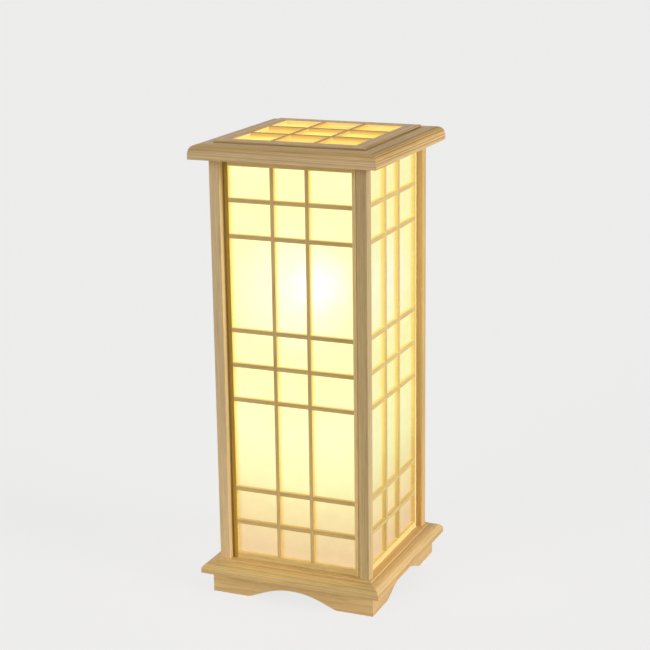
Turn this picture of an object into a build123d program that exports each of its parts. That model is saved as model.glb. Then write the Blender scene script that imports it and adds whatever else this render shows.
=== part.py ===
from build123d import *
from math import sqrt
import os

os.makedirs("parts", exist_ok=True)

# Millimetres. +Z is up, the origin is the centre of the footprint on the floor,
# and the front of the lamp faces -Y.

# Overall
overall_height = 600.0
footprint = 250.0  # over the lips of the base and of the roof
body_width = 211.0  # over the outer faces of the posts

# Plinth: four mitred boards with an arched lower edge
lip_overhang = 12.0  # of the base lip past the plinth
plinth_height = 28.0
plinth_thickness = 16.0
foot_width = 51.0
arch_height = 16.5
arch_flare_run = 14.0
arch_flare_rise = 4.0
arch_crown_run = 30.0
corner_block_leg = 22.0
corner_block_setback = 3.0  # its foot stays this far off the floor

# Mouldings of the base and the roof: a lip, an ovolo, and a step up to a flat
lip_height = 7.0
flat_rise = 3.0
base_ovolo_run = 16.0
base_ovolo_drop = 7.5
base_ovolo_fullness = 0.62  # of its curve, from a plain slope at 0 to a square corner at 1
roof_ovolo_run = 25.0
roof_ovolo_drop = 12.0
roof_ovolo_fullness = 0.86
arris = 0.8  # rounding of the exposed corners

# Base frame and bottom board
base_ledge = 5.7  # how far the base frame reaches inside the panels
base_rebate_width = 8.0
board_thickness = 6.0
board_clearance = 0.1

# Roof frame
roof_bar_width = 5.0
roof_bar_depth = 5.0
batten_thickness = 5.0
batten_drop = 8.0  # how far the battens hang into the body
batten_clearance = 0.1  # between the battens and the rebate they sit in
roof_clearance = 0.4  # between the battens and the body round them

# Posts
post_face = 14.0
post_corner_radius = 1.0
reveal_width = 3.2  # open strip between a post and the lattice beside it
reveal_depth = 10.0
post_tenon = 8.0
post_tenon_length = 10.0
tenon_clearance = 0.1

# Side panels
panel_clearance = 0.1
lattice_setback = 7.0  # from the face of the posts back to the face of the lattice
lattice_depth = 6.0
stile_width = 5.0
bottom_rail_height = 8.5
top_rail_height = 9.5
upright_width = 5.0
crossbar_height = 5.5
centre_pane_width = 42.0
small_pane_height = 40.5
bar_chamfer = 0.4
stub_length = 2.5
stub_thickness = 3.0
sheet_thickness = 0.8
backing_thickness = 3.0
backing_width = 9.0

# Lamp pipe and its fittings
pipe_diameter = 10.0
pipe_bore = 8.0
pipe_clearance = 0.1
pipe_below_board = 8.0
flange_radius = 28.0
flange_thickness = 3.0
flange_boss_radius = 8.5
flange_boss_height = 12.0
nut_across_flats = 14.0
nut_thickness = 3.5
bush_bore = 6.4
bush_collar_radius = 6.5
bush_collar_thickness = 2.0
bush_sleeve_length = 7.0
bush_clearance = 0.05

# Lampholder for an E27 screw cap
holder_bottom = 293.0  # above the floor
holder_radius = 19.5
holder_wall = 2.0
holder_neck_radius = 9.0
holder_neck_height = 6.0
holder_cone_height = 8.0
holder_cup_height = 12.0
holder_mouth_radius = 15.0
flute_count = 24
flute_radius = 1.2
flute_setback = 2.5  # from the ends of the skirt
insulator_height = 9.0
insulator_clearance = 0.1
screw_shell_wall = 0.4
screw_shell_clearance = 0.6  # round the bulb's cap
contact_half_span = 6.0
contact_width = 7.0
contact_thickness = 0.6
contact_rise = 3.0

# Bulb
bulb_length = 108.0
bulb_clearance = 0.3  # over the contact, and between the collar and the mouth of the holder
globe_radius = 30.0
globe_wall = 1.0
collar_top_radius = 24.0
cap_radius = 13.2
cap_height = 23.0
cap_tip_radius = 5.0
cap_tip_height = 3.5

# Wood screws
screw_head_radius = 3.5
screw_head_height = 2.4
screw_shank_radius = 1.6
screw_point_length = 2.5
screw_bite = 8.0  # length in the piece that the screw holds to
flange_screw_bite = 5.0
flange_screw_count = 3
board_screw_spacing = 110.0
batten_screw_spacing = 100.0

# Heights and distances from the centre line that follow from the sizes above
side_angles = {"front": 0, "right": 90, "back": 180, "left": 270}
corner_angles = {"front_right": 0, "back_right": 90, "back_left": 180, "front_left": 270}
lip_reach = footprint / 2
plinth_reach = lip_reach - lip_overhang
post_reach = body_width / 2
post_centre = post_reach - post_face / 2
post_inside = post_reach - post_face
post_shoulder = post_inside - reveal_width
base_flat_reach = lip_reach - base_ovolo_run
roof_flat_reach = lip_reach - roof_ovolo_run
base_top = plinth_height + lip_height + base_ovolo_drop + flat_rise
roof_bottom = overall_height - flat_rise - roof_ovolo_drop - lip_height
body_middle = (base_top + roof_bottom) / 2

panel_reach = post_shoulder - panel_clearance
pane_reach = panel_reach - stile_width
lattice_face = post_reach - lattice_setback
lattice_middle = lattice_face - lattice_depth / 2
lattice_back = lattice_face - lattice_depth
sheet_back = lattice_back - sheet_thickness
backing_back = sheet_back - backing_thickness
pane_bottom = base_top + bottom_rail_height
pane_top = roof_bottom - top_rail_height

base_inside = backing_back - base_ledge
base_rebate = base_inside + base_rebate_width
board_top = plinth_height + board_thickness
board_screw_reach = base_inside + base_rebate_width / 2

batten_outside = post_shoulder - roof_clearance
roof_rebate = batten_outside + batten_clearance
roof_inside = batten_outside - batten_thickness
roof_sheet_top = overall_height - roof_bar_depth
roof_sheet_bottom = roof_sheet_top - sheet_thickness
batten_middle = (roof_bottom + roof_sheet_bottom) / 2

holder_cone_bottom = holder_bottom + holder_neck_height
holder_cone_top = holder_cone_bottom + holder_cone_height
holder_cup_top = holder_cone_top + holder_cup_height
insulator_bottom = holder_cone_top + holder_wall
insulator_top = insulator_bottom + insulator_height
bulb_bottom = insulator_top + contact_rise + bulb_clearance
cap_bottom = bulb_bottom + cap_tip_height
cap_top = cap_bottom + cap_height
holder_top = cap_top - bulb_clearance
globe_centre = bulb_bottom + bulb_length - globe_radius
collar_top = globe_centre - sqrt(globe_radius**2 - collar_top_radius**2)
pipe_bottom = plinth_height - pipe_below_board
pipe_top = holder_cone_bottom + holder_wall
boss_top = board_top + flange_boss_height

# Sections of the front side: local x is the distance from the centre line, local y the height
section_plane = Plane(origin=(0, 0, 0), x_dir=(0, -1, 0), z_dir=(-1, 0, 0))


# General helpers


def block(x, y, z):
    """A rectangular block between (low, high) pairs."""
    middle = Pos(sum(x) / 2, sum(y) / 2, sum(z) / 2)
    return middle * Box(x[1] - x[0], y[1] - y[0], z[1] - z[0])


def centred(middle, width):
    """The (low, high) pair round a middle."""
    return (middle - width / 2, middle + width / 2)


def disc(radius, low, high):
    """An upright round block on the centre line."""
    return Pos(0, 0, low) * extrude(Circle(radius), high - low)


def tube(outer, inner, low, high):
    """An upright tube on the centre line."""
    return disc(outer, low, high) - disc(inner, low, high)


def turned(shape, angle):
    """The front version of a shape carried round to another side."""
    return Rot(0, 0, angle) * shape


def revolved(*edges):
    """A solid of revolution from the edges of a closed section in radius and height."""
    return revolve(Plane.XZ * make_face(edges), Axis.Z)


def mitre_wedge():
    """The quarter of the plan that the front side owns, cut at 45 degrees at both ends."""
    quarter = Polygon((0, 0), (-footprint, -footprint), (footprint, -footprint), align=None)
    return extrude(quarter, overall_height)


def save(name, *solids):
    """Write one node, as one solid or as a group of like solids."""
    shape = solids[0] if len(solids) == 1 else Compound(list(solids))
    export_step(shape, f"parts/{name}.step")


# Screws and their places


def screw(bite, through):
    """A countersunk wood screw under the origin, its head flush with the height zero."""
    length = through + bite
    profile = Polyline(
        (0, 0),
        (screw_head_radius, 0),
        (screw_shank_radius, -screw_head_height),
        (screw_shank_radius, screw_point_length - length),
        (0, -length),
        (0, 0),
    )
    return revolved(profile)


def board_screws():
    """Screws of the front side that hold the bottom board up into the base frame."""
    upward = Rot(180, 0, 0) * screw(screw_bite, board_thickness)
    places = centred(0, board_screw_spacing)
    return [Pos(x, -board_screw_reach, plinth_height) * upward for x in places]


def batten_screws():
    """Screws of the front side that hold the batten out against the roof moulding."""
    outward = Rot(-90, 0, 0) * screw(screw_bite, batten_thickness)
    places = centred(0, batten_screw_spacing)
    return [Pos(x, -roof_inside, batten_middle) * outward for x in places]


def flange_screws():
    """Screws that hold the flange of the lamp pipe to the bottom board."""
    downward = screw(flange_screw_bite, flange_thickness)
    circle_radius = (flange_radius + flange_boss_radius) / 2
    places = PolarLocations(circle_radius, flange_screw_count)
    return [Pos(0, 0, board_top + flange_thickness) * place * downward for place in places]


# Base and roof frames


def ovolo(low, run, drop, fullness):
    """The rounded slope from the step down to the lip, for a moulding that stands on low."""
    lip_top = low + lip_height
    return Bezier(
        (lip_reach - run, lip_top + drop),
        (lip_reach - run + run * fullness, lip_top + drop),
        (lip_reach - run * (1 - fullness) / 2, lip_top + drop * fullness),
        (lip_reach, lip_top),
    )


def moulding(slope, rest):
    """One mitred moulding length of the front side from the two parts of its section."""
    section = section_plane * make_face([slope, rest])
    return extrude(section, lip_reach, both=True) & mitre_wedge()


def base_moulding():
    """Base moulding: a raised flat that carries the body, and a rebate for the bottom board."""
    slope = ovolo(plinth_height, base_ovolo_run, base_ovolo_drop, base_ovolo_fullness)
    rest = FilletPolyline(
        slope @ 1,
        (lip_reach, plinth_height),
        (base_rebate, plinth_height),
        (base_rebate, board_top),
        (base_inside, board_top),
        (base_inside, base_top),
        (base_flat_reach, base_top),
        slope @ 0,
        radius=[arris, 0, 0, 0, 0, arris],
    )
    mortises = [post_tenon_block(side, tenon_clearance) for side in (-1, 1)]
    return moulding(slope, rest) - mortises - board_screws()


def roof_moulding():
    """Roof moulding: a raised flat round the opening, and a rebate for the sheet and batten."""
    slope = ovolo(roof_bottom, roof_ovolo_run, roof_ovolo_drop, roof_ovolo_fullness)
    rest = FilletPolyline(
        slope @ 1,
        (lip_reach, roof_bottom),
        (roof_rebate, roof_bottom),
        (roof_rebate, roof_sheet_top),
        (roof_inside, roof_sheet_top),
        (roof_inside, overall_height),
        (roof_flat_reach, overall_height),
        slope @ 0,
        radius=[arris, 0, 0, 0, arris, arris],
    )
    return moulding(slope, rest) - batten_screws()


def post_tenon_block(side, clearance):
    """The stub tenon of a front post, or its mortise with a clearance."""
    width = post_tenon + 2 * clearance
    low = base_top - post_tenon_length - clearance
    return block(centred(side * post_centre, width), centred(-post_centre, width), (low, base_top))


def post():
    """Front right post: a square face, a shoulder behind the two open reveals, a stub tenon."""
    shoulder_size = post_face + reveal_width - reveal_depth
    shoulder_centre = post_shoulder + shoulder_size / 2
    face = RectangleRounded(post_face, post_face, post_corner_radius)
    shoulder = Rectangle(shoulder_size, shoulder_size)
    plan = Pos(post_centre, -post_centre) * face + Pos(shoulder_centre, -shoulder_centre) * shoulder
    return Pos(0, 0, base_top) * extrude(plan, roof_bottom - base_top) + post_tenon_block(1, 0)


def plinth_board():
    """Plinth board with an arched lower edge between its two feet."""
    half_arch = plinth_reach - foot_width
    rise = Bezier(
        (half_arch, 0),
        (half_arch - arch_flare_run, arch_flare_rise),
        (arch_crown_run, arch_height),
        (0, arch_height),
    )
    fall = mirror(rise, about=Plane.YZ)
    floor = Line((-half_arch, 0), (half_arch, 0))
    arch = extrude(Plane.XZ * make_face([rise, fall, floor]), plinth_reach)
    inner_face = plinth_thickness - plinth_reach
    board = block((-plinth_reach, plinth_reach), (-plinth_reach, inner_face), (0, plinth_height))
    return board - arch & mitre_wedge()


def corner_block():
    """Three-cornered glue block in the front right corner of the plinth."""
    corner = plinth_reach - plinth_thickness
    plan = Polygon(
        (corner, -corner),
        (corner, corner_block_leg - corner),
        (corner - corner_block_leg, -corner),
        align=None,
    )
    return Pos(0, 0, corner_block_setback) * extrude(plan, plinth_height - corner_block_setback)


def bottom_board():
    """Bottom board in the rebate of the base frame, bored for the pipe and the screws."""
    reach = 2 * (base_rebate - board_clearance)
    board = block(centred(0, reach), centred(0, reach), (plinth_height, board_top))
    pipe_hole = disc(pipe_diameter / 2 + pipe_clearance, plinth_height, board_top)
    return board - pipe_hole - round_all(board_screws()) - flange_screws()


def round_all(shapes):
    """The front version of each shape together with its copies on the other three sides."""
    return [turned(shape, angle) for angle in side_angles.values() for shape in shapes]


# Side panels


def bar(length, width, depth):
    """A bar along X on the origin, its face towards -Y with two softened long edges."""
    section = Polygon(
        (-depth / 2, bar_chamfer - width / 2),
        (bar_chamfer - depth / 2, -width / 2),
        (depth / 2, -width / 2),
        (depth / 2, width / 2),
        (bar_chamfer - depth / 2, width / 2),
        (-depth / 2, width / 2 - bar_chamfer),
        align=None,
    )
    return extrude(Plane.YZ * section, length / 2, both=True)


def crossbar_levels():
    """Middle heights of the crossbars: pairs of small panes round two tall ones."""
    rows = ["small", "small", "tall", "small", "small", "tall", "small", "small"]
    bars_total = (len(rows) - 1) * crossbar_height
    small_total = rows.count("small") * small_pane_height
    tall_pane_height = (pane_top - pane_bottom - bars_total - small_total) / rows.count("tall")
    pane_heights = {"small": small_pane_height, "tall": tall_pane_height}
    levels = []
    level = pane_bottom - crossbar_height / 2
    for row in rows[:-1]:
        level += pane_heights[row] + crossbar_height
        levels.append(level)
    return levels


upright_places = centred(0, centre_pane_width + upright_width)
upright_spans = [centred(place, upright_width) for place in upright_places]
crossbar_spans = [centred(level, crossbar_height) for level in crossbar_levels()]
stub_depth = centred(-lattice_middle, stub_thickness)
crossbar_stub_reach = centred(0, 2 * (pane_reach + stub_length))
upright_stub_reach = (pane_bottom - stub_length, pane_top + stub_length)


def lattice_crossbars():
    """Crossbars, halved at the front where the uprights pass and stubbed into the stiles."""
    front_half = (-lattice_face, -lattice_middle)
    notches = [block(span, front_half, (base_top, roof_bottom)) for span in upright_spans]
    plain = bar(2 * pane_reach, crossbar_height, lattice_depth)
    bars = []
    for span in crossbar_spans:
        stubs = block(crossbar_stub_reach, stub_depth, span)
        bars.append(Pos(0, -lattice_middle, sum(span) / 2) * plain + stubs - notches)
    return bars


def lattice_uprights():
    """Uprights, halved at the back where the crossbars pass and stubbed into the rails."""
    back_half = (-lattice_middle, -lattice_back)
    notches = [block(centred(0, 2 * pane_reach), back_half, span) for span in crossbar_spans]
    plain = Rot(0, 90, 0) * bar(pane_top - pane_bottom, upright_width, lattice_depth)
    bars = []
    for place, span in zip(upright_places, upright_spans):
        stubs = block(span, stub_depth, upright_stub_reach)
        bars.append(Pos(place, -lattice_middle, (pane_bottom + pane_top) / 2) * plain + stubs - notches)
    return bars


def lattice_frame():
    """Two stiles and two rails, mortised for the stubs of the bars between them."""
    side_mortises = [block(crossbar_stub_reach, stub_depth, span) for span in crossbar_spans]
    end_mortises = [block(span, stub_depth, upright_stub_reach) for span in upright_spans]
    stile = Rot(0, 90, 0) * bar(roof_bottom - base_top, stile_width, lattice_depth)
    bottom_rail = bar(2 * pane_reach, bottom_rail_height, lattice_depth)
    top_rail = bar(2 * pane_reach, top_rail_height, lattice_depth)
    stile_middle = pane_reach + stile_width / 2
    return [
        Pos(-stile_middle, -lattice_middle, body_middle) * stile - side_mortises,
        Pos(stile_middle, -lattice_middle, body_middle) * stile - side_mortises,
        Pos(0, -lattice_middle, pane_bottom - bottom_rail_height / 2) * bottom_rail - end_mortises,
        Pos(0, -lattice_middle, pane_top + top_rail_height / 2) * top_rail - end_mortises,
    ]


def side_sheet():
    """Translucent sheet against the back of the lattice."""
    return block(centred(0, 2 * panel_reach), (-lattice_back, -sheet_back), (base_top, roof_bottom))


def backing_frame():
    """Four flat strips that clamp the sheet against the lattice, the upright ones running through."""
    depth = (-sheet_back, -backing_back)
    inner = panel_reach - backing_width
    body_height = (base_top, roof_bottom)
    return [
        block((-panel_reach, -inner), depth, body_height),
        block((inner, panel_reach), depth, body_height),
        block((-inner, inner), depth, (base_top, base_top + backing_width)),
        block((-inner, inner), depth, (roof_bottom - backing_width, roof_bottom)),
    ]


# Roof lattice, sheet and battens

roof_pane = (2 * roof_inside - 2 * roof_bar_width) / 3
roof_bar_places = centred(0, roof_pane + roof_bar_width)
roof_bar_spans = [centred(place, roof_bar_width) for place in roof_bar_places]
roof_bar_middle = overall_height - roof_bar_depth / 2
roof_opening = centred(0, 2 * roof_inside)


def roof_bars_left_right():
    """Two bars left to right, halved from above where the other two pass."""
    upper = (roof_bar_middle, overall_height)
    notches = [block(span, roof_opening, upper) for span in roof_bar_spans]
    plain = Rot(-90, 0, 0) * bar(2 * roof_inside, roof_bar_width, roof_bar_depth)
    return [Pos(0, place, roof_bar_middle) * plain - notches for place in roof_bar_places]


def roof_bars_front_back():
    """Two bars front to back, halved from below where they pass over the other two."""
    lower = (roof_sheet_top, roof_bar_middle)
    notches = [block(roof_opening, span, lower) for span in roof_bar_spans]
    plain = turned(Rot(-90, 0, 0) * bar(2 * roof_inside, roof_bar_width, roof_bar_depth), 90)
    return [Pos(place, 0, roof_bar_middle) * plain - notches for place in roof_bar_places]


def roof_sheet():
    """Translucent sheet in the rebate, under the roof bars."""
    reach = centred(0, 2 * batten_outside)
    return block(reach, reach, (roof_sheet_bottom, roof_sheet_top))


def roof_batten():
    """Batten under one edge of the roof sheet, mitred, that drops just inside the body."""
    height = (roof_bottom - batten_drop, roof_sheet_bottom)
    strip = block(centred(0, 2 * batten_outside), (-batten_outside, -roof_inside), height)
    return (strip & mitre_wedge()) - batten_screws()


# Lamp pipe, lampholder and bulb


def lamp_pipe():
    """Hollow pipe from under the bottom board up into the lampholder; the cable runs inside."""
    return tube(pipe_diameter / 2, pipe_bore / 2, pipe_bottom, pipe_top)


def pipe_flange():
    """Round flange with a boss that steadies the pipe on the bottom board."""
    hole = pipe_diameter / 2 + pipe_clearance
    plate = tube(flange_radius, hole, board_top, board_top + flange_thickness)
    boss = tube(flange_boss_radius, hole, board_top, boss_top)
    return plate + boss - flange_screws()


def lock_nuts():
    """Hexagon nuts on the pipe: under the board, over the boss and under the lampholder."""
    plan = RegularPolygon(nut_across_flats / 2, 6, major_radius=False) - Circle(pipe_diameter / 2)
    nut = extrude(plan, nut_thickness)
    levels = (plinth_height - nut_thickness, boss_top, holder_bottom - nut_thickness)
    return [Pos(0, 0, level) * nut for level in levels]


def cable_bush():
    """Insulating bush in the lower end of the pipe, where the cable enters."""
    bore = bush_bore / 2
    collar = tube(bush_collar_radius, bore, pipe_bottom - bush_collar_thickness, pipe_bottom)
    sleeve_radius = pipe_bore / 2 - bush_clearance
    return collar + tube(sleeve_radius, bore, pipe_bottom, pipe_bottom + bush_sleeve_length)


def lampholder_cup():
    """Lower shell of the lampholder, screwed on the pipe by its neck."""
    inner_radius = holder_radius - holder_wall
    outline = Polyline(
        (pipe_diameter / 2, holder_bottom),
        (holder_neck_radius, holder_bottom),
        (holder_neck_radius, holder_cone_bottom),
        (holder_radius, holder_cone_top),
        (holder_radius, holder_cup_top),
        (inner_radius, holder_cup_top),
        (inner_radius, insulator_bottom),
        (holder_neck_radius - holder_wall, pipe_top),
        (pipe_diameter / 2, pipe_top),
        (pipe_diameter / 2, holder_bottom),
    )
    return revolved(outline)


def lampholder_skirt():
    """Fluted upper shell of the lampholder, with a lip round its mouth."""
    inner_radius = holder_radius - holder_wall
    outline = Polyline(
        (inner_radius, holder_cup_top),
        (holder_radius, holder_cup_top),
        (holder_radius, holder_top - holder_wall),
        (holder_radius - holder_wall / 2, holder_top),
        (holder_mouth_radius, holder_top),
        (holder_mouth_radius, holder_top - holder_wall),
        (inner_radius, holder_top - holder_wall),
        (inner_radius, holder_cup_top),
    )
    flute_low = holder_cup_top + flute_setback
    flute_high = holder_top - holder_wall - flute_setback
    flute = Pos(0, 0, flute_low) * extrude(Circle(flute_radius), flute_high - flute_low)
    flutes = [place * flute for place in PolarLocations(holder_radius + flute_radius / 2, flute_count)]
    return revolved(outline) - flutes


def lampholder_insulator():
    """Insulating puck inside the lampholder that carries the screw shell and the contact."""
    return disc(holder_radius - holder_wall - insulator_clearance, insulator_bottom, insulator_top)


def lampholder_screw_shell():
    """Brass screw shell, open at the top for the cap of the bulb."""
    inner_radius = cap_radius + screw_shell_clearance
    return tube(inner_radius + screw_shell_wall, inner_radius, insulator_top, holder_top - holder_wall)


def lampholder_contact():
    """Sprung brass strip that touches the tip of the bulb."""
    inner_span = contact_half_span - contact_thickness
    outer = ThreePointArc(
        (-contact_half_span, insulator_top),
        (0, insulator_top + contact_rise),
        (contact_half_span, insulator_top),
    )
    inner = ThreePointArc(
        (-inner_span, insulator_top),
        (0, insulator_top + contact_rise - contact_thickness),
        (inner_span, insulator_top),
    )
    feet = [Line(outer @ end, inner @ end) for end in (0, 1)]
    strip = Plane.XZ * make_face([outer, inner] + feet)
    return extrude(strip, contact_width / 2, both=True)


def bulb_cap():
    """Screw cap of the bulb, with its stepped tip."""
    outline = Polyline(
        (0, bulb_bottom),
        (cap_tip_radius, bulb_bottom),
        (cap_radius, cap_bottom),
        (cap_radius, cap_top),
        (0, cap_top),
        (0, bulb_bottom),
    )
    return revolved(outline)


def bulb_collar():
    """Flared plastic collar between the cap and the globe."""
    flare = collar_top - cap_top
    side = Bezier(
        (cap_radius, cap_top),
        (cap_radius, cap_top + flare / 3),
        (collar_top_radius - flare / 6, collar_top - flare / 3),
        (collar_top_radius, collar_top),
    )
    rest = Polyline(side @ 1, (0, collar_top), (0, cap_top), side @ 0)
    return revolved(side, rest)


def bulb_globe():
    """Opal globe, open underneath where the collar closes it."""
    inner_radius = globe_radius - globe_wall
    inner_edge = sqrt(inner_radius**2 - (globe_centre - collar_top) ** 2)
    diagonal = sqrt(0.5)
    outer = ThreePointArc(
        (collar_top_radius, collar_top),
        (globe_radius * diagonal, globe_centre + globe_radius * diagonal),
        (0, globe_centre + globe_radius),
    )
    inner = ThreePointArc(
        (inner_edge, collar_top),
        (inner_radius * diagonal, globe_centre + inner_radius * diagonal),
        (0, globe_centre + inner_radius),
    )
    rim = Line(outer @ 0, inner @ 0)
    crown = Line(outer @ 1, inner @ 1)
    return revolved(outer, inner, rim, crown)


# Write the nodes


for side, angle in side_angles.items():
    save(f"{side}_plinth_board", turned(plinth_board(), angle))
    save(f"{side}_base_moulding", turned(base_moulding(), angle))
    save(f"{side}_roof_moulding", turned(roof_moulding(), angle))
    save(f"{side}_lattice_frame", *[turned(piece, angle) for piece in lattice_frame()])
    save(f"{side}_lattice_uprights", *[turned(piece, angle) for piece in lattice_uprights()])
    save(f"{side}_lattice_crossbars", *[turned(piece, angle) for piece in lattice_crossbars()])
    save(f"{side}_sheet", turned(side_sheet(), angle))
    save(f"{side}_backing_frame", *[turned(piece, angle) for piece in backing_frame()])

for corner, angle in corner_angles.items():
    save(f"{corner}_post", turned(post(), angle))

save("corner_blocks", *round_all([corner_block()]))
save("bottom_board", bottom_board())
save("board_screws", *round_all(board_screws()))

save("roof_bars_left_right", *roof_bars_left_right())
save("roof_bars_front_back", *roof_bars_front_back())
save("roof_sheet", roof_sheet())
save("roof_battens", *round_all([roof_batten()]))
save("batten_screws", *round_all(batten_screws()))

save("lamp_pipe", lamp_pipe())
save("pipe_flange", pipe_flange())
save("flange_screws", *flange_screws())
save("lock_nuts", *lock_nuts())
save("cable_bush", cable_bush())
save("lampholder_cup", lampholder_cup())
save("lampholder_skirt", lampholder_skirt())
save("lampholder_insulator", lampholder_insulator())
save("lampholder_screw_shell", lampholder_screw_shell())
save("lampholder_contact", lampholder_contact())
save("bulb_cap", bulb_cap())
save("bulb_collar", bulb_collar())
save("bulb_globe", bulb_globe())
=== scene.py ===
import bpy
import bmesh
from math import radians, pi
from mathutils import Matrix, Vector


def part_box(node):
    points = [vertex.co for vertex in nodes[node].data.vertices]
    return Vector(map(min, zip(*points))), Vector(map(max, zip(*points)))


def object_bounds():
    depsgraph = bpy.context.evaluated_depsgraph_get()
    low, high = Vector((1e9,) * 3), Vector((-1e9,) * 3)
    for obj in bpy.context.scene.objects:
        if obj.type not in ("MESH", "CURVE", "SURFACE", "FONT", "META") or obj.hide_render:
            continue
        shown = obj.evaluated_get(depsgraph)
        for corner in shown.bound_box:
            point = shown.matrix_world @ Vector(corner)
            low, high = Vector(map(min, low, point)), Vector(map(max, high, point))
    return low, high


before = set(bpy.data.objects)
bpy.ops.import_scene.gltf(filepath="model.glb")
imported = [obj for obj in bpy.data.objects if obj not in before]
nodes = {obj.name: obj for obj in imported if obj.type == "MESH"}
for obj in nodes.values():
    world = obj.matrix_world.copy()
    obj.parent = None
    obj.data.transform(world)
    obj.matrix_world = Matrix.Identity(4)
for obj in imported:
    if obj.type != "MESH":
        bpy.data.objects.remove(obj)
cadBox = [list(corner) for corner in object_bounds()]
sides = ["front", "right", "back", "left"]
print("frame loaded:", len(nodes), "nodes")


# colours and node helpers

def rgb(red, green, blue):
    # screen colour in 0-255 to the linear colour that a socket holds
    def channel(value):
        share = value / 255
        return share / 12.92 if share <= 0.04045 else ((share + 0.055) / 1.055) ** 2.4
    return (channel(red), channel(green), channel(blue), 1)


def addNode(tree, kind, inputs=None, **settings):
    made = tree.nodes.new("ShaderNode" + kind)
    for name, value in settings.items():
        setattr(made, name, value)
    for key, value in (inputs or {}).items():
        if isinstance(value, bpy.types.NodeSocket):
            tree.links.new(value, made.inputs[key])
        else:
            made.inputs[key].default_value = value
    return made


def addMath(tree, operation, first, second=None, third=None, clamp=False):
    values = enumerate((first, second, third))
    given = {place: value for place, value in values if value is not None}
    return addNode(tree, "Math", given, operation=operation, use_clamp=clamp).outputs[0]


def addVector(tree, operation, first, second):
    made = addNode(tree, "VectorMath", {0: first, 1: second}, operation=operation)
    return made.outputs["Value" if operation in ("DOT_PRODUCT", "DISTANCE") else "Vector"]


def addRange(tree, value, fromMin, fromMax, toMin=0.0, toMax=1.0, smooth=False):
    inputs = {"Value": value, "From Min": fromMin, "From Max": fromMax,
              "To Min": toMin, "To Max": toMax}
    kind = "SMOOTHSTEP" if smooth else "LINEAR"
    return addNode(tree, "MapRange", inputs, interpolation_type=kind, clamp=True).outputs["Result"]


def addMix(tree, kind, factor, first, second, blend="MIX"):
    made = addNode(tree, "Mix", data_type=kind)
    if kind == "RGBA":
        made.blend_type = blend
    start = {"FLOAT": 2, "VECTOR": 4, "RGBA": 6}[kind]
    for key, value in ((0, factor), (start, first), (start + 1, second)):
        if isinstance(value, bpy.types.NodeSocket):
            tree.links.new(value, made.inputs[key])
        else:
            made.inputs[key].default_value = value
    return made.outputs[{"FLOAT": 0, "VECTOR": 1, "RGBA": 2}[kind]]


def addGrey(tree, value):
    return addNode(tree, "CombineColor", {"Red": value, "Green": value, "Blue": value}).outputs[0]


def addGroup(name, inputs, outputs):
    group = bpy.data.node_groups.new(name, "ShaderNodeTree")
    kinds = {float: "NodeSocketFloat", tuple: "NodeSocketVector"}
    for socketName, value in inputs.items():
        kind = kinds[type(value)]
        made = group.interface.new_socket(socketName, in_out="INPUT", socket_type=kind)
        made.default_value = value
    for socketName in outputs:
        group.interface.new_socket(socketName, in_out="OUTPUT", socket_type="NodeSocketFloat")
    given = group.nodes.new("NodeGroupInput").outputs
    return group, given, group.nodes.new("NodeGroupOutput").inputs


def useGroup(tree, group, inputs):
    made = tree.nodes.new("ShaderNodeGroup")
    made.node_tree = group
    for key, value in inputs.items():
        if isinstance(value, bpy.types.NodeSocket):
            tree.links.new(value, made.inputs[key])
        else:
            made.inputs[key].default_value = value
    return made.outputs


def startMaterial(name):
    material = bpy.data.materials.new(name)
    material.use_nodes = True
    tree = material.node_tree
    return material, tree, tree.nodes["Principled BSDF"]


def dress(nodeName, material):
    nodes[nodeName].material_slots[0].material = material


def middleOf(nodeName):
    low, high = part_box(nodeName)
    return (low + high) / 2


# places that the finishes refer to, in metres

bulbLow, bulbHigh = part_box("bulb_globe")
globeCentre = Vector((0, 0, bulbHigh.z - (bulbHigh.x - bulbLow.x) / 2))
sheetOutside = abs(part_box("front_sheet")[0].y)  # the outer face of the side sheets
latticeDepth = abs(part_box("front_lattice_uprights")[0].y) - sheetOutside
stubLength = 0.0025
barHalf = 0.0025  # half the width of an upright
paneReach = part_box("front_lattice_crossbars")[1].x - stubLength  # the stiles start here
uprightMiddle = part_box("front_lattice_uprights")[1].x - barHalf
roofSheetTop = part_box("roof_sheet")[1].z
roofTop = cadBox[1][2]
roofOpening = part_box("roof_bars_left_right")[1].x
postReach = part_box("front_right_post")[1].x
postWidth = 0.014
postInside = postReach - postWidth
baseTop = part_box("front_sheet")[0].z
baseStep = 0.109  # where the raised flats of the mouldings end
roofStep = 0.100
stepDrop = 0.003  # where the corner under the flats lies, below the top
spillEdge = 0.0006  # how far the light of a sheet reaches past its opening
hair = 0.0002  # keeps a face that lies on a limit on one side of it
outwards = {"front": (0, -1, 0), "right": (1, 0, 0), "back": (0, 1, 0), "left": (-1, 0, 0)}
alongs = {"front": (1, 0, 0), "right": (0, 1, 0), "back": (1, 0, 0), "left": (0, 1, 0)}


# effects that several finishes share

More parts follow.
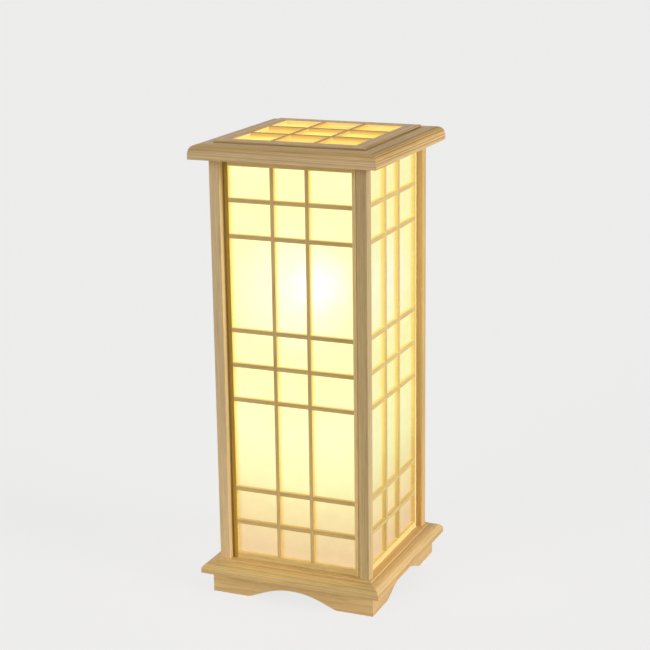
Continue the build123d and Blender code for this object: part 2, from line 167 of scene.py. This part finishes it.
def makeGrainGroup():
    # wood whose grain runs along X with its pith on the X axis, in metres
    inputs = {"Vector": (0.0, 0.0, 0.0), "Ring Width": 0.003, "Waviness": 0.002, "Sharpness": 2.0}
    tree, given, result = addGroup("grain", inputs, ["Rings", "Fibres", "Drift", "Flecks"])

    def noise(stretch, detail=2.0, roughness=0.5):  # stretch: waves in a metre along and across
        stretched = addVector(tree, "MULTIPLY", given["Vector"], stretch)
        shape = {"Vector": stretched, "Scale": 1.0, "Detail": detail, "Roughness": roughness}
        return addNode(tree, "TexNoise", shape)

    bend = addVector(tree, "SUBTRACT", noise((4.0, 24, 24)).outputs["Color"], (0.5, 0.5, 0.5))
    bend = addNode(tree, "VectorMath", {0: bend, "Scale": given["Waviness"]}, operation="SCALE")
    bend = bend.outputs[0]
    bent = addVector(tree, "MULTIPLY", addVector(tree, "ADD", given["Vector"], bend), (0, 1, 1))
    radius = addNode(tree, "VectorMath", {0: bent}, operation="LENGTH").outputs["Value"]
    count = addMath(tree, "DIVIDE", radius, given["Ring Width"])
    slow = addMath(tree, "MULTIPLY", count, 0.45)
    years = addNode(tree, "TexNoise", {"W": slow, "Scale": 1.0, "Detail": 1.0},
                    noise_dimensions="1D")
    uneven = addMath(tree, "MULTIPLY_ADD", years.outputs[0], 2.4, count)
    within = addMath(tree, "FRACT", uneven)
    late = addMath(tree, "POWER", within, given["Sharpness"])
    fall = addRange(tree, within, 0.90, 1.0, 1.0, 0.0, smooth=True)
    year = addNode(tree, "TexWhiteNoise", {"W": addMath(tree, "FLOOR", uneven)},
                   noise_dimensions="1D")
    depth = addRange(tree, year.outputs["Value"], 0.0, 1.0, 0.45, 1.0)
    ring = addMath(tree, "MULTIPLY", late, fall)
    tree.links.new(addMath(tree, "MULTIPLY", ring, depth), result["Rings"])
    tree.links.new(noise((55, 1900, 1900), 3.0, 0.65).outputs["Fac"], result["Fibres"])
    tree.links.new(noise((5, 42, 42)).outputs["Fac"], result["Drift"])
    flecks = noise((14, 520, 520), 2.0, 0.6)
    tree.links.new(addRange(tree, flecks.outputs["Fac"], 0.52, 0.74, smooth=True), result["Flecks"])
    return tree


def makeEdgeGroup():
    # bright on corners: rubbed by handling, and a painted highlight
    tree, given, result = addGroup("edgeWearAndHighlight", {"Radius": 0.0007}, ["Edge"])
    rounded = addNode(tree, "Bevel", {"Radius": given["Radius"]}, samples=4).outputs[0]
    plain = addNode(tree, "NewGeometry").outputs["Normal"]
    turn = addVector(tree, "DOT_PRODUCT", rounded, plain)
    tree.links.new(addRange(tree, turn, 0.99, 0.80, smooth=True), result["Edge"])
    return tree


def makeSpillGroup():
    # warm light of a glowing sheet on the faces that stand square on it,
    # fading outwards and away from the bulb
    inputs = {"Vector": (0.0, 0.0, 0.0), "Outward": (0.0, -1.0, 0.0), "Sheet": sheetOutside,
              "Depth": latticeDepth, "Across": (1.0, 0.0, 0.0), "Reach": 0.085}
    tree, given, result = addGroup("sheetSpill", inputs, ["Spill"])
    outward = addVector(tree, "DOT_PRODUCT", given["Vector"], given["Outward"])
    height = addMath(tree, "SUBTRACT", outward, given["Sheet"])
    near = addMath(tree, "DIVIDE", height, given["Depth"], clamp=True)
    outside = addMath(tree, "GREATER_THAN", height, -0.0003)
    normal = addNode(tree, "NewGeometry").outputs["Normal"]
    facing = addVector(tree, "DOT_PRODUCT", normal, given["Outward"])
    square = addRange(tree, addMath(tree, "ABSOLUTE", facing), 0.75, 0.25, smooth=True)
    across = addVector(tree, "DOT_PRODUCT", given["Vector"], given["Across"])
    across = addMath(tree, "ABSOLUTE", across)
    within = addMath(tree, "LESS_THAN", across, given["Reach"])
    distance = addVector(tree, "DISTANCE", given["Vector"], tuple(globeCentre))
    fade = addRange(tree, distance, 0.18, 0.33, 1.0, 0.35, smooth=True)
    spill = addMath(tree, "MULTIPLY", square, fade)
    spill = addMath(tree, "MULTIPLY", spill, addRange(tree, near, 0.0, 1.0, 1.0, 0.45))
    spill = addMath(tree, "MULTIPLY", spill, outside)
    tree.links.new(addMath(tree, "MULTIPLY", spill, within), result["Spill"])
    return tree


grain = makeGrainGroup()
edgeWearAndHighlight = makeEdgeGroup()
sheetSpill = makeSpillGroup()


# wood

# degrees that bring a side to the front
sideTurns = {"front": 0, "right": -90, "back": 180, "left": 90}
grainSlide = 0.37  # metres of grain from one piece to the next
cornerShade = (0.0055, 0.0005)  # metres from the post, where the painted shade in the stile's corner starts and is full
woodFinish = {
    "roughness": 0.44,
    "specular": 0.16,
    "relief": 0.00010,  # metres
    "fibreShade": (0.87, 1.10),
    "driftShade": (0.90, 1.08),
    "fleckShade": -0.20,
    "edgeWearHighlightLift": 0.10,
    "mitreShade": 0.90,
    # painted light towards the foot
    "footLightTint": (1.16, 1.14, 1.09),
    "footFrom": 0.30,
    "revealShadeTint": (0.66, 0.58, 0.36),
    "stileShadeTint": (0.68, 0.60, 0.19),  # painted shade of the one stile in each panel that its post shades
    "stileCornerShade": (0.50, 0.38, 0.06),
    # painted light on the other stile and on the rails
    "litStileTint": (1.27, 1.38, 1.60),
    "railLightTint": (1.19, 1.27, 1.32),
    "spillColour": (1.0, 0.76, 0.22, 1),
}
# pith: where it lies from the middle of the piece, seen from the front; lean in degrees
woodCuts = {
    "combed": {"ringWidth": 0.0033, "ringDepth": 1.4, "pith": (0, -0.076, -0.046), "lean": 0.35,
               "waviness": 0.0010, "sharpness": 3.2},
    "quiet": {"ringWidth": 0.0026, "ringDepth": 0.85, "pith": (0, -0.060, -0.050), "lean": 0.8,
              "waviness": 0.0025},
    "slat": {"ringWidth": 0.0019, "ringDepth": 0.50, "pith": (0, -0.050, 0.020), "lean": 0.7,
             "waviness": 0.0015},
    "post": {"ringWidth": 0.0027, "ringDepth": 0.65, "pith": (0, -0.045, 0.050), "lean": 0.5,
             "waviness": 0.0030},
    "flat": {"ringWidth": 0.0042, "ringDepth": 0.60, "pith": (0, 0.030, -0.026), "lean": 1.4,
             "waviness": 0.0060},
}


def addWoodSpace(tree, place, side, upright, centre, cut, slide):
    turn = Matrix.Rotation(radians(sideTurns[side]), 3, "Z")
    if upright:
        turn = Matrix.Rotation(pi / 2, 3, "Y") @ turn
    turn = Matrix.Rotation(radians(cut["lean"]), 3, "Z") @ turn
    start = Vector((slide, 0, 0)) - turn @ Vector(centre) - Vector(cut["pith"])
    inputs = {"Vector": place, "Rotation": tuple(turn.to_euler()), "Location": tuple(start)}
    return addNode(tree, "Mapping", inputs).outputs[0]


def addTint(tree, colour, share, tint):
    tint = (*tint, 1) if isinstance(tint, tuple) else tint
    return addMix(tree, "RGBA", share, colour, addMix(tree, "RGBA", 1.0, colour, tint, "MULTIPLY"))


def makeWood(name, tone, cutName, centre, seed, side="front", upright=False, stileReach=None,
             mitred=False, spillStrength=0.60, quartered=False, foot=False, reveal=False,
             upLightTint=None, upFrom=(0.15, 0.75), shadedStile=None, step=None, spill=(), **changes):
    material, tree, surface = startMaterial(name)
    cut = {**woodCuts[cutName], **changes}
    place = addNode(tree, "TexCoord").outputs["Object"]
    parts = addNode(tree, "SeparateXYZ", {0: place}).outputs
    reachX = addMath(tree, "ABSOLUTE", parts["X"])
    reachY = addMath(tree, "ABSOLUTE", parts["Y"])
    slide = grainSlide * seed
    space = addWoodSpace(tree, place, side, upright, centre, cut, slide)
    if stileReach is not None:  # the strips beyond it stand upright, the ones between lie flat
        standing = addWoodSpace(tree, place, side, True, centre, cut, slide + 0.2)
        reach = reachX if side in ("front", "back") else reachY
        isStile = addMath(tree, "GREATER_THAN", reach, stileReach)
        space = addMix(tree, "VECTOR", isStile, space, standing)
    if quartered:  # four lengths in one node, mitred at the corners
        other = addWoodSpace(tree, place, "right", False, centre, cut, slide + 0.5)
        isSide = addMath(tree, "GREATER_THAN", reachX, reachY)
        space = addMix(tree, "VECTOR", isSide, space, other)
    look = useGroup(tree, grain, {"Vector": space, "Ring Width": cut["ringWidth"],
                                  "Waviness": cut["waviness"],
                                  "Sharpness": cut.get("sharpness", 2.0)})
    rings = addMath(tree, "MULTIPLY", look["Rings"], cut["ringDepth"], clamp=True)
    colour = addMix(tree, "RGBA", rings, *tone)
    fibres = addRange(tree, look["Fibres"], 0.3, 0.7, *woodFinish["fibreShade"])
    drift = addRange(tree, look["Drift"], 0.3, 0.7, *woodFinish["driftShade"])
    shade = addMath(tree, "MULTIPLY", fibres, drift)
    flecks = addMath(tree, "MULTIPLY_ADD", look["Flecks"], woodFinish["fleckShade"], 1.0)
    shade = addMath(tree, "MULTIPLY", shade, flecks)
    # corners painted lighter, as wear and as a painted highlight
    edge = useGroup(tree, edgeWearAndHighlight, {})["Edge"]
    rubbedAndHighlit = addMath(tree, "MULTIPLY_ADD", edge, woodFinish["edgeWearHighlightLift"], 1.0)
    shade = addMath(tree, "MULTIPLY", shade, rubbedAndHighlit)
    if mitred:  # a fine joint where two lengths meet at 45 degrees
        gap = addMath(tree, "ABSOLUTE", addMath(tree, "SUBTRACT", reachX, reachY))
        joint = addRange(tree, gap, 0.0002, 0.0008, woodFinish["mitreShade"], 1.0)
        shade = addMath(tree, "MULTIPLY", shade, joint)
    if step:  # painted shade in the corner under the raised flat
        stepReach, stepHeight, stepShade = step
        away = addMath(tree, "SUBTRACT", addMath(tree, "MAXIMUM", reachX, reachY), stepReach)
        away = addMath(tree, "ABSOLUTE", away)
        corner = addMath(tree, "MULTIPLY", addRange(tree, away, 0.0006, 0.0016, 1.0, 0.0),
                         addRange(tree, parts["Z"], stepHeight + 0.0024, stepHeight + 0.0005))
        shade = addMath(tree, "MULTIPLY", shade, addRange(tree, corner, 0.0, 1.0, 1.0, stepShade))
    colour = addMix(tree, "RGBA", 1.0, colour, addGrey(tree, shade), "MULTIPLY")
    if upLightTint:  # painted light and shade on the faces that look up: darker and yellower on the roof, lighter on the base's sides in the light of the sheets
        normal = addNode(tree, "NewGeometry").outputs["Normal"]
        facing = addNode(tree, "SeparateXYZ", {0: normal}).outputs["Z"]
        colour = addTint(tree, colour, addRange(tree, facing, *upFrom, smooth=True), upLightTint)
    # painted shade on the stile that its post shades, darkest in its corner; painted light on the
    # other stile and the rails
    if shadedStile:
        beyond = addVector(tree, "DOT_PRODUCT", place, shadedStile)
        limits = [postInside - away for away in cornerShade]
        near = addRange(tree, beyond, *limits, smooth=True)
        tint = addMix(tree, "RGBA", near, (*woodFinish["stileShadeTint"], 1),
                      (*woodFinish["stileCornerShade"], 1))
        colour = addTint(tree, colour, addMath(tree, "GREATER_THAN", beyond, stileReach), tint)
        isLitStile = addMath(tree, "LESS_THAN", beyond, -stileReach)
        colour = addTint(tree, colour, isLitStile, woodFinish["litStileTint"])
        isRail = addMath(tree, "LESS_THAN", reach, stileReach)
        colour = addTint(tree, colour, isRail, woodFinish["railLightTint"])
    if foot:  # painted light: the wood is lighter and warmer towards the foot
        low = addRange(tree, parts["Z"], woodFinish["footFrom"], 0.06, smooth=True)
        colour = addTint(tree, colour, low, woodFinish["footLightTint"])
    if reveal:  # painted shade in the narrow recess beside the post
        inner = addMath(tree, "MINIMUM", reachX, reachY)
        inner = addMath(tree, "LESS_THAN", inner, postInside - hair)
        colour = addTint(tree, colour, inner, woodFinish["revealShadeTint"])
    tree.links.new(colour, surface.inputs["Base Color"])
    rough = addMath(tree, "MULTIPLY_ADD", look["Rings"], 0.10, woodFinish["roughness"])
    rough = addMath(tree, "MULTIPLY_ADD", look["Fibres"], 0.10, rough)
    rough = addMath(tree, "MULTIPLY_ADD", edge, -0.08, rough)
    tree.links.new(rough, surface.inputs["Roughness"])
    surface.inputs["Specular IOR Level"].default_value = woodFinish["specular"]
    height = addMath(tree, "MULTIPLY_ADD", look["Rings"], 0.5, look["Fibres"])
    bump = addNode(tree, "Bump",
                   {"Height": height, "Strength": 0.35, "Distance": woodFinish["relief"]})
    tree.links.new(bump.outputs[0], surface.inputs["Normal"])
    if spill:
        shares = [useGroup(tree, sheetSpill, {"Vector": place, **where})["Spill"]
                  for where in spill]
        share = shares[0] if len(shares) == 1 else addMath(tree, "MAXIMUM", *shares)
        glow = addMix(tree, "RGBA", share, (0, 0, 0, 1), woodFinish["spillColour"])
        tree.links.new(glow, surface.inputs["Emission Color"])
        surface.inputs["Emission Strength"].default_value = spillStrength
    return material


woodTones = {  # early wood, late wood; the Sun copies are painted lighter or darker, as painted light and shade, for the sides in the key light
    "roof": (rgb(238, 206, 156), rgb(150, 114, 72)),
    "roofSun": (rgb(229, 193, 133), rgb(74, 48, 24)),
    "roofBar": (rgb(186, 144, 78), rgb(136, 96, 44)),
    "lattice": (rgb(217, 187, 128), rgb(174, 142, 84)),
    "latticeSun": (rgb(229, 200, 137), rgb(188, 158, 95)),
    "base": (rgb(242, 207, 144), rgb(168, 122, 64)),
    "baseSun": (rgb(224, 186, 126), rgb(136, 92, 46)),
    "plinth": (rgb(236, 202, 142), rgb(190, 148, 90)),
    "plinthSun": (rgb(220, 184, 130), rgb(178, 138, 86)),
    "front_right_post": (rgb(208, 182, 134), rgb(164, 134, 86)),
    "back_right_post": (rgb(216, 182, 120), rgb(176, 136, 78)),
    "back_left_post": (rgb(222, 194, 150), rgb(182, 148, 100)),
    "front_left_post": (rgb(230, 202, 156), rgb(188, 156, 108)),
    "hidden": (rgb(224, 200, 156), rgb(192, 160, 112)),
}
woodLit = {  # painted light and shade on the faces that look up
    "roof": (0.80, 0.75, 0.56),
    "roofSun": (0.78, 0.71, 0.50),
    "base": (1.0, 1.03, 1.0),
    "baseSun": (1.23, 1.30, 1.42),
}
shadedStiles = {"front": (-1, 0, 0), "right": (0, -1, 0), "back": (1, 0, 0), "left": (0, 1, 0)}
roofWhere = {"Outward": (0, 0, 1), "Sheet": roofSheetTop, "Depth": roofTop - roofSheetTop,
             "Reach": roofOpening + spillEdge}
seed = 1
for side in sides:
    # the sides in the key light take the Sun tones, with painted light and shade
    sunny = "Sun" if side in ("right", "left") else ""
    slopeCut = "combed" if sunny else "quiet"
    where = {"Outward": outwards[side], "Across": alongs[side], "Reach": paneReach + spillEdge}
    roofWood = makeWood(side + "RoofMouldingWood", woodTones["roof" + sunny], slopeCut,
                        middleOf(side + "_roof_moulding"), seed, side, mitred=True,
                        upLightTint=woodLit["roof" + sunny],
                        upFrom=(0.02, 0.45) if sunny else (0.15, 0.75),
                        step=(roofStep, roofTop - stepDrop, 0.5),
                        spill=[{**roofWhere, "Across": outwards[side]}])
    dress(side + "_roof_moulding", roofWood)
    baseWood = makeWood(side + "BaseMouldingWood", woodTones["base" + sunny], slopeCut,
                        middleOf(side + "_base_moulding"), seed + 1, side, mitred=True,
                        ringWidth=0.0028, ringDepth=0.85, upLightTint=woodLit["base" + sunny],
                        step=(baseStep, baseTop - stepDrop, 0.84))
    dress(side + "_base_moulding", baseWood)
    plinthWood = makeWood(side + "PlinthWood", woodTones["plinth" + sunny], "flat",
                          middleOf(side + "_plinth_board"), seed + 2, side, mitred=True)
    dress(side + "_plinth_board", plinthWood)
    slat = middleOf(side + "_lattice_frame")
    tone = woodTones["lattice" + sunny]
    crossbarWood = makeWood(side + "CrossbarWood", tone, "slat", slat, seed + 3, side,
                            foot=not sunny, spill=[where])
    dress(side + "_lattice_crossbars", crossbarWood)
    uprightWood = makeWood(side + "UprightWood", tone, "slat", slat, seed + 4, side,
                           upright=True, foot=not sunny, spill=[where])
    dress(side + "_lattice_uprights", uprightWood)
    frameWood = makeWood(side + "LatticeFrameWood", tone, "slat", slat, seed + 5, side,
                         stileReach=paneReach, foot=True, spill=[where],
                         shadedStile=shadedStiles[side])
    dress(side + "_lattice_frame", frameWood)
    backingWood = makeWood(side + "BackingWood", woodTones["hidden"], "flat", slat, seed + 6, side,
                           stileReach=paneReach - 0.004)
    dress(side + "_backing_frame", backingWood)
    seed += 7
for corner in ("front_right", "back_right", "back_left", "front_left"):
    name = corner.title().replace("_", "") + "PostWood"
    beside = [{"Outward": outwards[side], "Across": alongs[side], "Reach": postInside + hair,
               "Depth": postReach - sheetOutside + 0.004} for side in corner.split("_")]
    postWood = makeWood(name, woodTones[corner + "_post"], "post", middleOf(corner + "_post"), seed,
                        upright=True, foot=True, reveal=True, spill=beside, spillStrength=0.2)
    dress(corner + "_post", postWood)
    seed += 1
for name, side in (("roof_bars_left_right", "front"), ("roof_bars_front_back", "right")):
    barWood = makeWood(name.title().replace("_", "") + "Wood", woodTones["roofBar"], "slat",
                       middleOf(name), seed, side, spill=[{**roofWhere, "Across": alongs[side]}])
    dress(name, barWood)
    seed += 1
battenWood = makeWood("battenWood", woodTones["hidden"], "slat", middleOf("roof_battens"), seed,
                      quartered=True)
dress("roof_battens", battenWood)
boardWood = makeWood("boardWood", woodTones["hidden"], "flat", middleOf("bottom_board"), seed + 1,
                     ringWidth=0.009)
dress("bottom_board", boardWood)
blockWood = makeWood("blockWood", woodTones["hidden"], "flat", (0, 0, 0), seed + 2, upright=True)
dress("corner_blocks", blockWood)
print("wood done")


# light: bulb and glowing sheets

sheetFinish = {
    "paper": rgb(150, 132, 100),
    # painted shade: the paper of the side in the key light is darker
    "keyLitPaperShade": rgb(84, 60, 48),
    "roofPaper": rgb(226, 188, 124),
    "roughness": 0.56,
    "rise": 0.013,  # the holder shades the light below, so the glow centres above the bulb
    "clearness": 0.3,  # lets the bulb show as a soft bright spot
    "glow": [  # distance from the bulb in metres, and the emitted colour
        (0.092, (0.80, 0.84, 0.64)),
        (0.105, (0.79, 0.835, 0.55)),
        (0.125, (0.78, 0.82, 0.43)),
        (0.160, (0.77, 0.81, 0.42)),
        (0.215, (0.755, 0.815, 0.47)),
        (0.245, (0.735, 0.775, 0.43)),
        (0.285, (0.71, 0.675, 0.36)),
        (0.310, (0.65, 0.58, 0.305)),
        (0.340, (0.605, 0.505, 0.28)),
        (0.360, (0.585, 0.455, 0.265)),
    ],
    "sunnyTint": (1.0, 0.985, 0.93),  # of the glow on the right side
    "sunnyFoot": 1.13,  # its glow far from the bulb is stronger by this
    "footFrom": 0.30,
    "barShadeTint": (1.0, 0.94, 0.62),  # painted shade beside the bars, where wood takes some of the light
    "barReach": 0.0065,
    "roofGlow": (0.71, 0.635, 0.10),
}


def makeSheet(name, paper, clearness=0.0, side=None, tint=(1, 1, 1), foot=1.0,
              roofLight=None):
    material, tree, surface = startMaterial(name)
    place = addNode(tree, "TexCoord").outputs["Object"]
    mottle = addNode(tree, "TexNoise",
                     {"Vector": place, "Scale": 60.0, "Detail": 4.0, "Roughness": 0.6})
    shade = addGrey(tree, addRange(tree, mottle.outputs["Fac"], 0.3, 0.7, 0.97, 1.03))
    if roofLight:
        cloud = addNode(tree, "TexNoise", {"Vector": place, "Scale": 14.0, "Detail": 2.0})
        share = addRange(tree, cloud.outputs["Fac"], 0.35, 0.65)
        dim = [value * fall for value, fall in zip(roofLight, (0.75, 0.65, 0.4))]
        glow = addMix(tree, "RGBA", share, (*dim, 1), (*roofLight, 1))
    else:
        source = globeCentre + Vector((0, 0, sheetFinish["rise"]))
        distance = addVector(tree, "DISTANCE", place, tuple(source))
        longest = sheetFinish["glow"][-1][0]
        ramp = addNode(tree, "ValToRGB", {"Fac": addMath(tree, "DIVIDE", distance, longest)})
        stops = ramp.color_ramp.elements
        while len(stops) < len(sheetFinish["glow"]):
            stops.new(0.5)
        for stop, (away, colour) in zip(stops, sheetFinish["glow"]):
            stop.position = away / longest
            lift = foot if away > sheetFinish["footFrom"] else 1.0
            stop.color = (*[value * share * lift for value, share in zip(colour, tint)], 1)
        across = addMath(tree, "ABSOLUTE", addVector(tree, "DOT_PRODUCT", place, alongs[side]))
        fromBar = addMath(tree, "ABSOLUTE", addMath(tree, "SUBTRACT", across, uprightMiddle))
        barReach = sheetFinish["barReach"]
        besideBar = addRange(tree, fromBar, barHalf, barReach, 1.0, 0.0, smooth=True)
        besideStile = addRange(tree, across, paneReach - barReach + barHalf, paneReach, smooth=True)
        beside = addMath(tree, "MAXIMUM", besideBar, besideStile)
        glow = addTint(tree, ramp.outputs[0], beside, sheetFinish["barShadeTint"])
    glow = addMix(tree, "RGBA", 1.0, glow, shade, "MULTIPLY")
    tree.links.new(glow, surface.inputs["Emission Color"])
    surface.inputs["Emission Strength"].default_value = 1.0
    base = addMix(tree, "RGBA", 1.0, paper, shade, "MULTIPLY")
    tree.links.new(base, surface.inputs["Base Color"])
    fibre = addNode(tree, "TexNoise", {"Vector": place, "Scale": 900.0, "Detail": 3.0})
    rough = addRange(tree, fibre.outputs["Fac"], 0.3, 0.7, sheetFinish["roughness"] - 0.05,
                     sheetFinish["roughness"] + 0.05)
    tree.links.new(rough, surface.inputs["Roughness"])
    surface.inputs["Specular IOR Level"].default_value = 0.2
    surface.inputs["Transmission Weight"].default_value = clearness
    bump = addNode(tree, "Bump",
                   {"Height": fibre.outputs["Fac"], "Strength": 0.2, "Distance": 0.00005})
    tree.links.new(bump.outputs[0], surface.inputs["Normal"])
    return material


for side in sides:
    look = (sheetFinish["paper"], (1, 1, 1), 1.0)
    if side == "right":  # it stands in the key light, so its paper carries painted shade and its glow is tinted
        look = (sheetFinish["keyLitPaperShade"], sheetFinish["sunnyTint"], sheetFinish["sunnyFoot"])
    paper, tint, foot = look
    finish = makeSheet(side + "SheetFinish", paper, sheetFinish["clearness"], side, tint, foot)
    dress(side + "_sheet", finish)
roofFinish = makeSheet("roofSheetFinish", sheetFinish["roofPaper"],
                       roofLight=sheetFinish["roofGlow"])
dress("roof_sheet", roofFinish)


def makePlain(name, colour, roughness, metallic=0.0, glow=None, glowStrength=0.0,
              openShare=0.05):
    material, tree, surface = startMaterial(name)
    place = addNode(tree, "TexCoord").outputs["Object"]
    noise = addNode(tree, "TexNoise", {"Vector": place, "Scale": 350.0, "Detail": 4.0})
    shade = addGrey(tree, addRange(tree, noise.outputs["Fac"], 0.3, 0.7, 0.94, 1.03))
    base = addMix(tree, "RGBA", 1.0, colour, shade, "MULTIPLY")
    tree.links.new(base, surface.inputs["Base Color"])
    rough = addRange(tree, noise.outputs["Fac"], 0.3, 0.7, roughness - 0.05, roughness + 0.08)
    tree.links.new(rough, surface.inputs["Roughness"])
    surface.inputs["Metallic"].default_value = metallic
    bump = addNode(tree, "Bump",
                   {"Height": noise.outputs["Fac"], "Strength": 0.15, "Distance": 0.00005})
    tree.links.new(bump.outputs[0], surface.inputs["Normal"])
    if glow:  # at full strength only through a sheet, so that the opened lamp isn't drowned
        rays = addNode(tree, "LightPath").outputs
        direct = tuple(value * openShare for value in glow[:3])
        glow = addMix(tree, "RGBA", rays["Is Transmission Ray"], (*direct, 1), glow)
        tree.links.new(glow, surface.inputs["Emission Color"])
        surface.inputs["Emission Strength"].default_value = glowStrength
    return material


enamel = makePlain("whiteEnamel", rgb(226, 224, 218), 0.35)
zinc = makePlain("zincScrews", rgb(190, 188, 182), 0.35, 1.0)
brass = makePlain("brassFittings", rgb(206, 170, 104), 0.3, 1.0)
nickel = makePlain("bulbCapMetal", rgb(200, 200, 202), 0.28, 1.0)
holderPlastic = makePlain("whiteHolderPlastic", rgb(232, 230, 224), 0.3)
insulatorPlastic = makePlain("insulatorPlastic", rgb(216, 210, 198), 0.5)
bushPlastic = makePlain("blackBushPlastic", rgb(34, 34, 34), 0.5)
opal = makePlain("opalGlobe", rgb(250, 244, 228), 0.3, 0.0, rgb(255, 236, 196), 170.0)
fittings = {
    "lamp_pipe": enamel, "pipe_flange": enamel, "lock_nuts": brass, "flange_screws": zinc,
    "board_screws": zinc, "batten_screws": zinc, "cable_bush": bushPlastic,
    "lampholder_cup": holderPlastic, "lampholder_skirt": holderPlastic,
    "lampholder_insulator": insulatorPlastic, "lampholder_screw_shell": brass,
    "lampholder_contact": brass, "bulb_cap": nickel, "bulb_collar": holderPlastic,
    "bulb_globe": opal,
}
for nodeName, material in fittings.items():
    dress(nodeName, material)
print("light and fittings done")


# floor, lamps and camera

stageLook = {
    "floorSize": 60.0,
    "floor": 0.80,
    "backdrop": rgb(235, 235, 235),
    "floorBackdrop": rgb(248, 248, 248),
    "evenness": 0.82,  # share of the plain backdrop colour in the floor
    "world": (1.0, 0.965, 0.90, 1),
    "worldStrength": 0.22,
}
floorMesh = bmesh.new()
bmesh.ops.create_grid(floorMesh, x_segments=1, y_segments=1, size=stageLook["floorSize"] / 2)
floorData = bpy.data.meshes.new("floor")
floorMesh.to_mesh(floorData)
floorMesh.free()
floor = bpy.data.objects.new("floor", floorData)
bpy.context.scene.collection.objects.link(floor)
floorMaterial, floorTree, floorSurface = startMaterial("floorPaint")
floorSurface.inputs["Base Color"].default_value = (stageLook["floor"],) * 3 + (1,)
floorSurface.inputs["Roughness"].default_value = 0.9
floorSurface.inputs["Specular IOR Level"].default_value = 0.0


def addSeen(tree):
    # one for rays that show the background itself: from the camera, mirrored or through glass
    rays = addNode(tree, "LightPath").outputs
    seen = addMath(tree, "MAXIMUM", rays["Is Camera Ray"], rays["Is Glossy Ray"])
    return addMath(tree, "MAXIMUM", seen, rays["Is Transmission Ray"])


even = addNode(floorTree, "Emission", {"Color": stageLook["floorBackdrop"], "Strength": 1.0})
share = addMath(floorTree, "MULTIPLY", addSeen(floorTree), stageLook["evenness"])
floorMix = addNode(floorTree, "MixShader",
                   {0: share, 1: floorSurface.outputs[0], 2: even.outputs[0]})
floorTree.links.new(floorMix.outputs[0], floorTree.nodes["Material Output"].inputs["Surface"])
floorData.materials.append(floorMaterial)

world = bpy.data.worlds.new("studio")
world.use_nodes = True
bpy.context.scene.world = world
worldTree = world.node_tree
worldTree.nodes.clear()
fill = addNode(worldTree, "Background",
               {"Color": stageLook["world"], "Strength": stageLook["worldStrength"]})
plain = addNode(worldTree, "Background", {"Color": stageLook["backdrop"], "Strength": 1.0})
blend = addNode(worldTree, "MixShader",
                {0: addSeen(worldTree), 1: fill.outputs[0], 2: plain.outputs[0]})
addNode(worldTree, "OutputWorld", {"Surface": blend.outputs[0]})

lampLook = [  # name, the way the light travels, strength, width of the source in degrees, colour
    ("keyFromRight", (-0.96, 0.08, -0.22), 2.3, 25, (1.0, 0.98, 0.945)),
    ("softFromFront", (0.42, 0.80, -0.30), 1.0, 35, (1.0, 0.98, 0.94)),
    ("softFromBehind", (0.45, -0.60, -0.20), 0.5, 50, (1.0, 0.98, 0.95)),
]
for name, way, strength, width, colour in lampLook:
    data = bpy.data.lights.new(name, "SUN")
    data.energy = strength
    data.angle = radians(width)
    data.color = colour
    lamp = bpy.data.objects.new(name, data)
    lamp.rotation_euler = Vector(way).to_track_quat("-Z", "Y").to_euler()
    bpy.context.scene.collection.objects.link(lamp)

cameraLook = {
    "place": (0.83867, -1.95108, 0.92301),
    "yaw": 23.17,
    "pitch": 15.19,
    "roll": -0.78,
    "lens": 93.25,
}
cameraData = bpy.data.cameras.new("camera")
cameraData.lens = cameraLook["lens"]
cameraData.sensor_width = 36
camera = bpy.data.objects.new("camera", cameraData)
turn = Matrix.Rotation(radians(cameraLook["yaw"]), 4, "Z")
turn = turn @ Matrix.Rotation(radians(90 - cameraLook["pitch"]), 4, "X")
turn = turn @ Matrix.Rotation(radians(cameraLook["roll"]), 4, "Z")
camera.matrix_world = Matrix.Translation(cameraLook["place"]) @ turn
bpy.context.scene.collection.objects.link(camera)
bpy.context.scene.camera = camera
bpy.context.scene.view_settings.view_transform = "Standard"
print("stage done")
